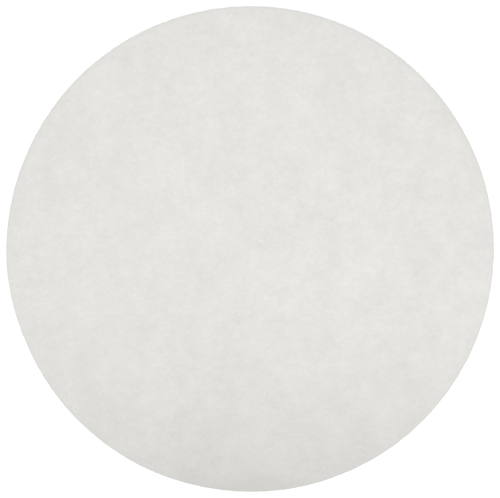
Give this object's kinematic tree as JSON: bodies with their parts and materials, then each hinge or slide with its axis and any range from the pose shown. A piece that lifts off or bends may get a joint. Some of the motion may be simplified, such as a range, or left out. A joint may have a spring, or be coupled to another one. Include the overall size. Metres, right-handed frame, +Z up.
{
  "type": "filter paper disc",
  "caption": "Round disc of plain filter paper, lying flat with one margin gently curled up, for lining a laboratory funnel or sieve plate.",
  "frame": {"origin": "on the underside of the paper, at the centre of the round", "axes": "+Z up out of the top face; -Y towards the margin that has curled up; +X to the right when the top face is seen with the curled margin nearest"},
  "size_m": [0.1253, 0.125, 0.0034],
  "materials": {
    "filter_paper": "matte"
  },
  "bodies": {
    "root": {"paper_disc": "filter_paper"}
  },
  "joints": []
}
